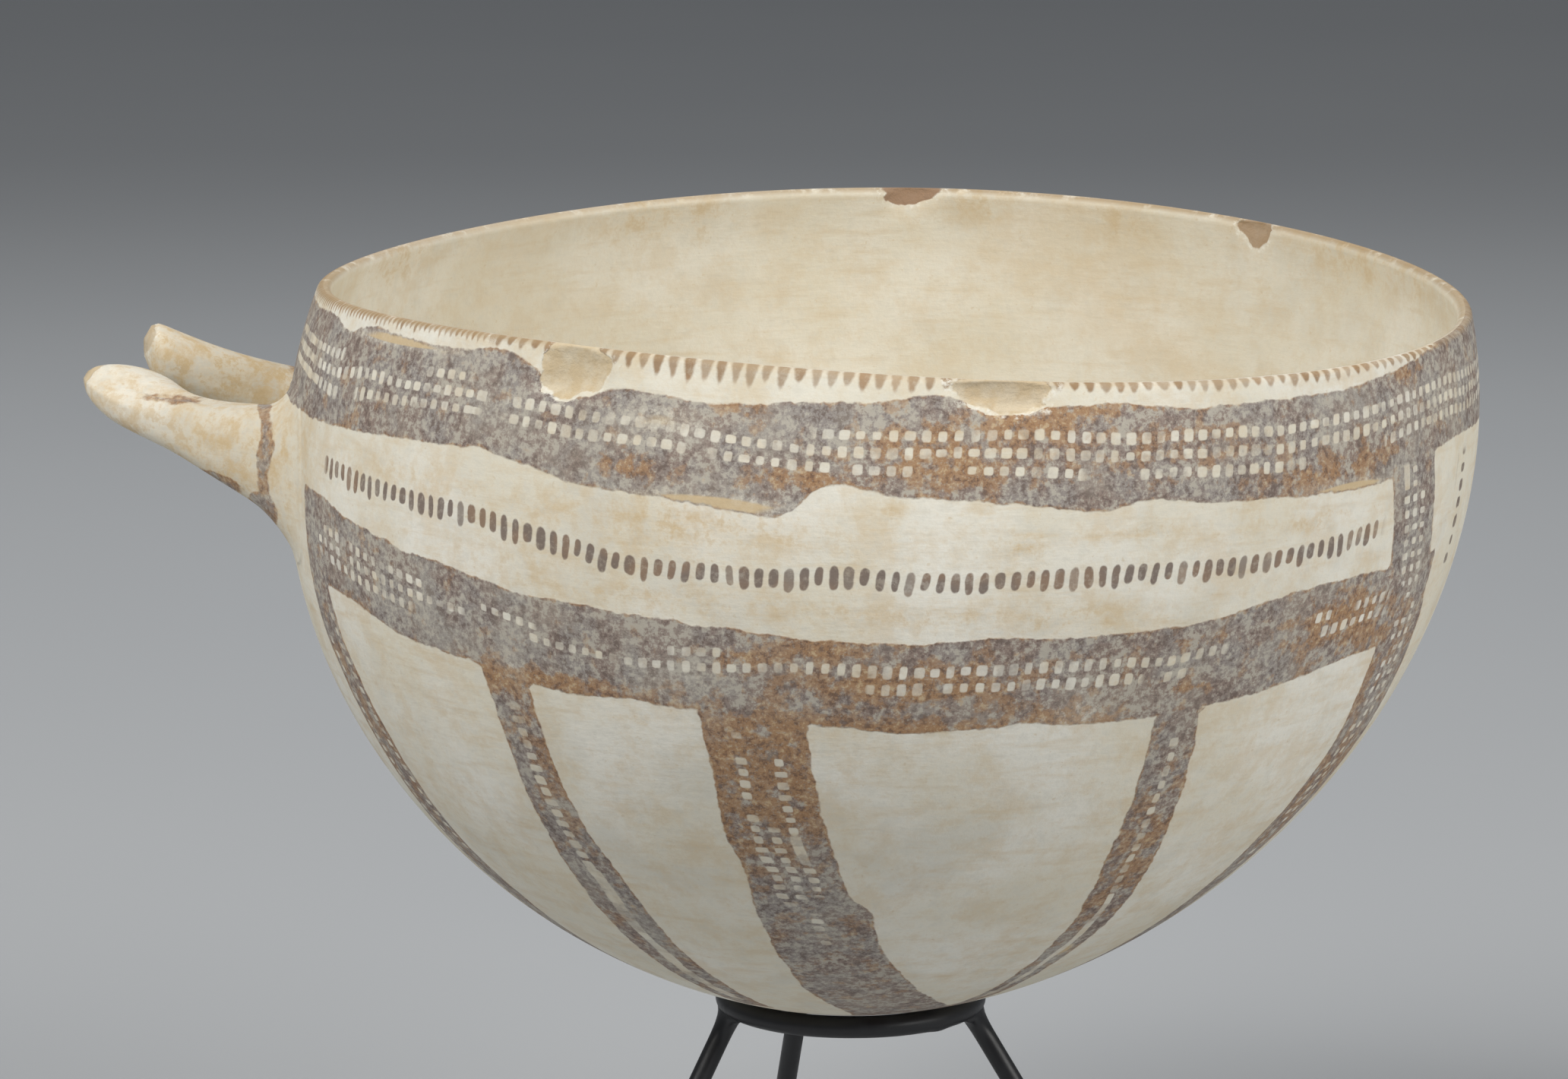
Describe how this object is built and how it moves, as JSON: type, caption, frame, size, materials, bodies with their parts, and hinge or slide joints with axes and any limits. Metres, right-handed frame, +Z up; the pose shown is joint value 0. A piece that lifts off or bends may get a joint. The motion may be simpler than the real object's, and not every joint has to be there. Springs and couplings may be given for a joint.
{
  "type": "milk bowl",
  "caption": "Round-bottomed bowl of painted pottery with the stumps of a broken wishbone handle, resting in a ring stand of bent steel rod.",
  "frame": {"origin": "on the floor, under the middle of the whole object's box", "axes": "+Z up; the handle's stumps point towards -X, and the more ornate side seen in the picture faces -Y"},
  "size_m": [0.2166, 0.1834, 0.1761],
  "materials": {
    "pottery": "matt cream slip with dark brown and orange painted bands, worn and chipped",
    "black_paint": "satin black paint on mild steel rod"
  },
  "bodies": {
    "root": {"bowl": "pottery", "stand_ring": "black_paint", "stand_leg_back": "black_paint", "stand_leg_left": "black_paint", "stand_leg_right": "black_paint"}
  },
  "joints": []
}
